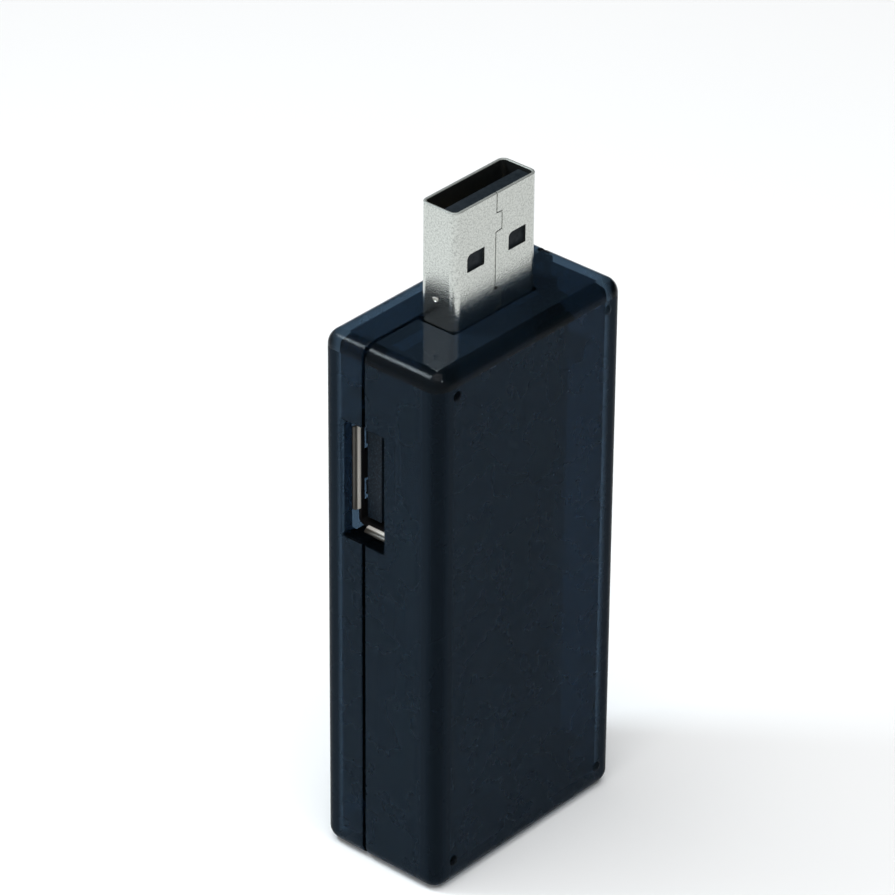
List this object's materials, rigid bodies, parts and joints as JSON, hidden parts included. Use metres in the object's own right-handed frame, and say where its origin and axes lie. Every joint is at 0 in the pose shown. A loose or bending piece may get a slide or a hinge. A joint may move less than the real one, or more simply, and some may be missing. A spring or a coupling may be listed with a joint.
{
  "type": "usb power meter",
  "caption": "In-line USB power meter: slim two-part translucent case with a USB plug on the end, a USB socket in one side, a small display and a reset button.",
  "frame": {"origin": "middle of the underside of the case, the end away from the plug", "axes": "+Z along the case towards the plug's tip, +X towards the side with the socket, -Y towards the display, +Y towards the plain back"},
  "size_m": [0.0274, 0.0158, 0.0726],
  "materials": {
    "smoky_plastic": "translucent smoky blue-black, satin sides and back, glossy top",
    "window_acrylic": "clear polished acrylic with a smoky tint",
    "polariser_film": "smooth film",
    "display_glass": "clear",
    "guide_acrylic": "milky white",
    "led_white": "white body with yellow lens",
    "black_plastic": "moulded black",
    "zebra_rubber": "soft, finely striped",
    "board_laminate": "solder mask over glass laminate",
    "nickel_steel": "nickel plate, fine grain",
    "gold_contact": "gold flash",
    "button_plastic": "moulded dark grey",
    "tinned_metal": "bright tin",
    "dome_steel": "thin spring sheet",
    "chip_resin": "black epoxy resin",
    "tantalum_resin": "yellow resin",
    "ceramic_tan": "fired ceramic"
  },
  "bodies": {
    "case": {"front_cover": "smoky_plastic", "rear_cover": "smoky_plastic", "display_window": "window_acrylic", "front_polariser": "polariser_film", "front_glass": "display_glass", "rear_glass": "display_glass", "rear_polariser": "polariser_film", "light_guide": "guide_acrylic", "backlight_leds": "led_white", "display_frame": "black_plastic", "zebra_strips": "zebra_rubber", "circuit_board": "board_laminate", "plug_shell": "nickel_steel", "plug_insulator": "black_plastic", "plug_contacts": "gold_contact", "socket_shell": "nickel_steel", "socket_insulator": "black_plastic", "socket_contacts": "gold_contact", "switch_body": "black_plastic", "switch_plate": "tinned_metal", "switch_dome": "dome_steel", "switch_leads": "tinned_metal", "microcontroller": "chip_resin", "current_amplifier": "chip_resin", "memory_chip": "chip_resin", "voltage_regulator": "chip_resin", "shunt_resistor": "chip_resin", "crystal": "tinned_metal", "tantalum_capacitor": "tantalum_resin", "ceramic_capacitors": "ceramic_tan", "chip_resistors": "chip_resin", "signal_diodes": "chip_resin"},
    "reset_button": {"button_cap": "button_plastic", "switch_plunger": "button_plastic"}
  },
  "joints": [
    {"name": "reset_button_press", "type": "slide", "parent": "case", "child": "reset_button", "axis": [0, 1, 0], "range_m": [0, 0.00025], "stiffness_N_per_m": 1200, "deforming": ["switch_dome"]}
  ]
}
